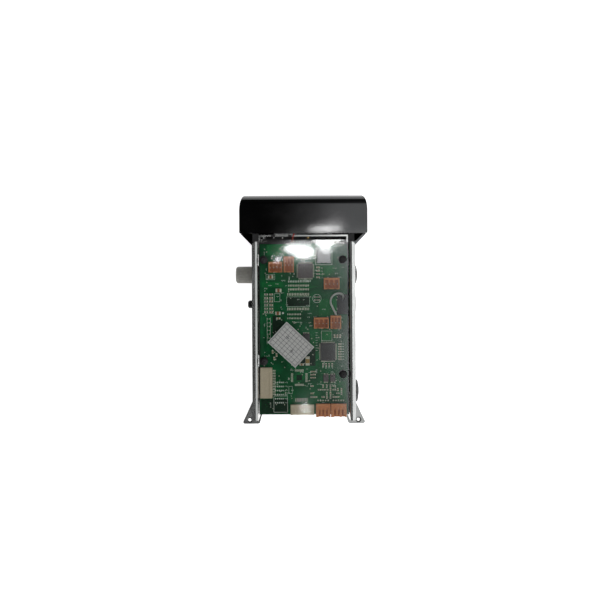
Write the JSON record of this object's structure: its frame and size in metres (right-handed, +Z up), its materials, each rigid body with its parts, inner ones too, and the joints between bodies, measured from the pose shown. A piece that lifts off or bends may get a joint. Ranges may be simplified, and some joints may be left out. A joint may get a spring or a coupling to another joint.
{
  "type": "motorised card reader",
  "caption": "Motor-driven card reader module: folded steel chassis, rounded black nose with a card slot, belt-driven rollers, hand feed knob and an open control board under clear film.",
  "frame": {"origin": "middle of the base plate's underside, on the chassis centre plane", "axes": "+Z up from the base to the board, +Y from the card slot to the tail, +X towards the feed knob"},
  "size_m": [0.1059, 0.1859, 0.067],
  "materials": {
    "zinc_steel": "zinc-plated sheet, satin, lightly handled",
    "bright_steel": "ground or plated bright steel",
    "black_gloss": "piano-black moulding",
    "black_plastic": "matt black moulding",
    "grey_knob": "soft grey moulding",
    "rubber": "ground black rubber",
    "white_nylon": "natural acetal",
    "cream_nylon": "natural nylon, slightly yellowed",
    "orange_nylon": "orange-brown nylon",
    "board_green": "green solder mask",
    "clear_film": "clear polyester film, glossy",
    "label_paper": "white label with a plain printed grid",
    "gold": "gold-plated spring contacts",
    "lamp": "frosted light bar, unlit",
    "grey_cable": "light grey PVC sheath"
  },
  "bodies": {
    "chassis": {"base_plate": "zinc_steel", "knob_side_frame": "zinc_steel", "belt_side_frame": "zinc_steel", "front_stay": "zinc_steel", "rear_stay": "zinc_steel", "front_bezel": "black_gloss", "slot_liner": "black_plastic", "slot_light": "lamp", "lower_card_guide": "black_plastic", "upper_card_guide": "black_plastic", "shutter_solenoid": "zinc_steel", "shutter_spring": "bright_steel", "front_bush_knob_side": "white_nylon", "front_bush_belt_side": "white_nylon", "middle_bush_knob_side": "white_nylon", "middle_bush_belt_side": "white_nylon", "rear_bush_knob_side": "white_nylon", "rear_bush_belt_side": "white_nylon", "timing_belt": "rubber", "drive_motor": "bright_steel", "encoder_sensor": "black_plastic", "main_board": "board_green", "sensor_header": "cream_nylon", "host_header": "cream_nylon", "power_header": "orange_nylon", "aux_header": "orange_nylon", "board_rivet_front_knob_side": "black_plastic", "board_rivet_rear_knob_side": "black_plastic", "board_rivet_front_belt_side": "black_plastic", "board_rivet_rear_belt_side": "black_plastic", "insulating_film": "clear_film", "inspection_label": "label_paper", "board_cable": "grey_cable"},
    "front_drive": {"front_drive_shaft": "bright_steel", "front_drive_roller": "rubber", "front_drive_pulley": "black_plastic", "feed_knob": "grey_knob"},
    "middle_drive": {"middle_drive_shaft": "bright_steel", "middle_drive_roller": "rubber", "middle_drive_pulley": "black_plastic"},
    "rear_drive": {"rear_drive_shaft": "bright_steel", "rear_drive_roller": "rubber", "rear_drive_pulley": "black_plastic", "encoder_disc": "black_plastic"},
    "motor_rotor": {"motor_pulley": "white_nylon"},
    "front_arm": {"front_idler_arm": "zinc_steel"},
    "middle_arm": {"middle_idler_arm": "zinc_steel"},
    "rear_arm": {"rear_idler_arm": "zinc_steel"},
    "front_idler": {"front_idler_roller": "white_nylon"},
    "middle_idler": {"middle_idler_roller": "white_nylon"},
    "rear_idler": {"rear_idler_roller": "white_nylon"},
    "shutter": {"shutter_blade": "bright_steel", "shutter_plunger": "bright_steel"},
    "head": {"magnetic_head": "bright_steel", "head_spring_plate": "bright_steel"},
    "head_pressure_roller": {"head_roller": "rubber"},
    "contact_carriage": {"contact_block": "black_plastic", "contact_springs": "gold"},
    "belt_tensioner": {"tensioner_arm": "zinc_steel"},
    "tensioner_wheel": {"tensioner_roller": "white_nylon"}
  },
  "joints": [
    {"name": "feed_spin", "type": "hinge", "parent": "chassis", "child": "front_drive", "pos_m": [0, -0.0284, 0.02685], "axis": [1, 0, 0], "continuous": true},
    {"name": "middle_shaft_spin", "type": "hinge", "parent": "chassis", "child": "middle_drive", "pos_m": [0, -0.0045, 0.02685], "axis": [1, 0, 0], "continuous": true},
    {"name": "rear_shaft_spin", "type": "hinge", "parent": "chassis", "child": "rear_drive", "pos_m": [0, 0.066, 0.02685], "axis": [1, 0, 0], "continuous": true},
    {"name": "motor_spin", "type": "hinge", "parent": "chassis", "child": "motor_rotor", "pos_m": [-0.04, 0.038, 0.0144], "axis": [1, 0, 0], "continuous": true},
    {"name": "front_arm_lift", "type": "hinge", "parent": "chassis", "child": "front_arm", "pos_m": [0, -0.0164, 0.03915], "axis": [1, 0, 0], "range_deg": [-8, 0]},
    {"name": "middle_arm_lift", "type": "hinge", "parent": "chassis", "child": "middle_arm", "pos_m": [0, 0.0075, 0.03915], "axis": [1, 0, 0], "range_deg": [-8, 0]},
    {"name": "rear_arm_lift", "type": "hinge", "parent": "chassis", "child": "rear_arm", "pos_m": [0, 0.054, 0.03915], "axis": [1, 0, 0], "range_deg": [0, 8]},
    {"name": "front_idler_spin", "type": "hinge", "parent": "front_arm", "child": "front_idler", "pos_m": [0, -0.0284, 0.03915], "axis": [1, 0, 0], "continuous": true},
    {"name": "middle_idler_spin", "type": "hinge", "parent": "middle_arm", "child": "middle_idler", "pos_m": [0, -0.0045, 0.03915], "axis": [1, 0, 0], "continuous": true},
    {"name": "rear_idler_spin", "type": "hinge", "parent": "rear_arm", "child": "rear_idler", "pos_m": [0, 0.066, 0.03915], "axis": [1, 0, 0], "continuous": true},
    {"name": "shutter_lift", "type": "slide", "parent": "chassis", "child": "shutter", "axis": [0, 0, 1], "range_m": [0, 0.0045], "stiffness_N_per_m": 60, "springref_m": -0.004, "deforming": ["shutter_spring"]},
    {"name": "head_float", "type": "slide", "parent": "chassis", "child": "head", "axis": [0, 0, -1], "range_m": [0, 0.0006], "stiffness_N_per_m": 3000, "springref_m": -0.0001},
    {"name": "head_roller_spin", "type": "hinge", "parent": "chassis", "child": "head_pressure_roller", "pos_m": [0.017, -0.046, 0.039], "axis": [1, 0, 0], "continuous": true},
    {"name": "contact_slide", "type": "slide", "parent": "chassis", "child": "contact_carriage", "axis": [0, 0.8, -0.6], "range_m": [0, 0.005], "stiffness_N_per_m": 100, "springref_m": -0.005},
    {"name": "tensioner_swing", "type": "hinge", "parent": "chassis", "child": "belt_tensioner", "pos_m": [-0.0379, 0.012, 0.0062], "axis": [1, 0, 0], "range_deg": [0, 8], "stiffness_Nm_per_rad": 0.05, "springref_deg": -5.73},
    {"name": "tensioner_wheel_spin", "type": "hinge", "parent": "belt_tensioner", "child": "tensioner_wheel", "pos_m": [-0.0402, -0.00234, 0.01022], "axis": [1, 0, 0], "continuous": true}
  ],
  "couplings": [
    {"joint": "middle_shaft_spin", "follows": "feed_spin", "ratio": 1},
    {"joint": "rear_shaft_spin", "follows": "feed_spin", "ratio": 1},
    {"joint": "motor_spin", "follows": "feed_spin", "ratio": 1.3333},
    {"joint": "front_idler_spin", "follows": "feed_spin", "ratio": -1.4},
    {"joint": "middle_idler_spin", "follows": "feed_spin", "ratio": -1.4},
    {"joint": "rear_idler_spin", "follows": "feed_spin", "ratio": -1.4},
    {"joint": "tensioner_wheel_spin", "follows": "feed_spin", "ratio": -1.73}
  ]
}
